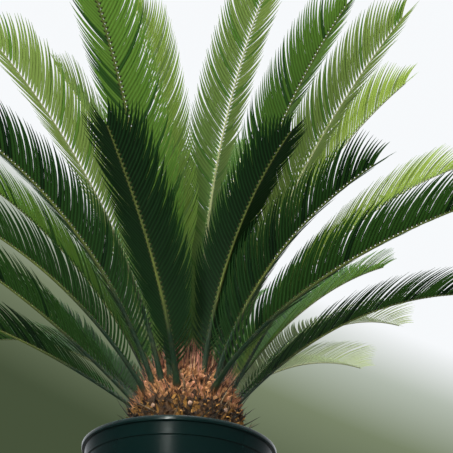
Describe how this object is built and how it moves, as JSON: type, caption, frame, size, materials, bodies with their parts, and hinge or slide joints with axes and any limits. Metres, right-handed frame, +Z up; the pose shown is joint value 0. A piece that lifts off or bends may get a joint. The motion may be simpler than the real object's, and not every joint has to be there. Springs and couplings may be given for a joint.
{
  "type": "potted sago palm",
  "caption": "Sago palm in a round nursery pot: a woolly caudex that carries a full vase of stiff feathered fronds.",
  "frame": {"origin": "centre of the pot's flat underside, where the potted plant stands", "axes": "+Z up along the pot's axis; -Y is the side that the picture shows, and +X is its right-hand side"},
  "size_m": [1.6706, 1.5029, 1.4846],
  "materials": {
    "pot_plastic": "dark green-black moulded plastic with a soft satin sheen",
    "potting_soil": "damp dark bark-based potting mix",
    "caudex": "rough brown leaf bases under tan-orange wool and papery scales",
    "frond_leaf": "leathery green leaflets with a soft gloss, on an olive rib"
  },
  "bodies": {
    "root": {"nursery_pot": "pot_plastic", "potting_soil": "potting_soil", "caudex": "caudex", "inner_frond_1": "frond_leaf", "inner_frond_2": "frond_leaf", "inner_frond_3": "frond_leaf", "inner_frond_4": "frond_leaf", "inner_frond_5": "frond_leaf", "inner_frond_6": "frond_leaf", "inner_frond_7": "frond_leaf", "middle_frond_1": "frond_leaf", "middle_frond_2": "frond_leaf", "middle_frond_3": "frond_leaf", "middle_frond_4": "frond_leaf", "middle_frond_5": "frond_leaf", "middle_frond_6": "frond_leaf", "middle_frond_7": "frond_leaf", "middle_frond_8": "frond_leaf", "middle_frond_9": "frond_leaf", "outer_frond_1": "frond_leaf", "outer_frond_2": "frond_leaf", "outer_frond_3": "frond_leaf", "outer_frond_4": "frond_leaf", "outer_frond_5": "frond_leaf", "outer_frond_6": "frond_leaf", "outer_frond_7": "frond_leaf", "outer_frond_8": "frond_leaf", "outer_frond_9": "frond_leaf", "outer_frond_10": "frond_leaf", "outer_frond_11": "frond_leaf", "outer_frond_12": "frond_leaf", "outer_frond_13": "frond_leaf", "outer_frond_14": "frond_leaf"}
  },
  "joints": []
}
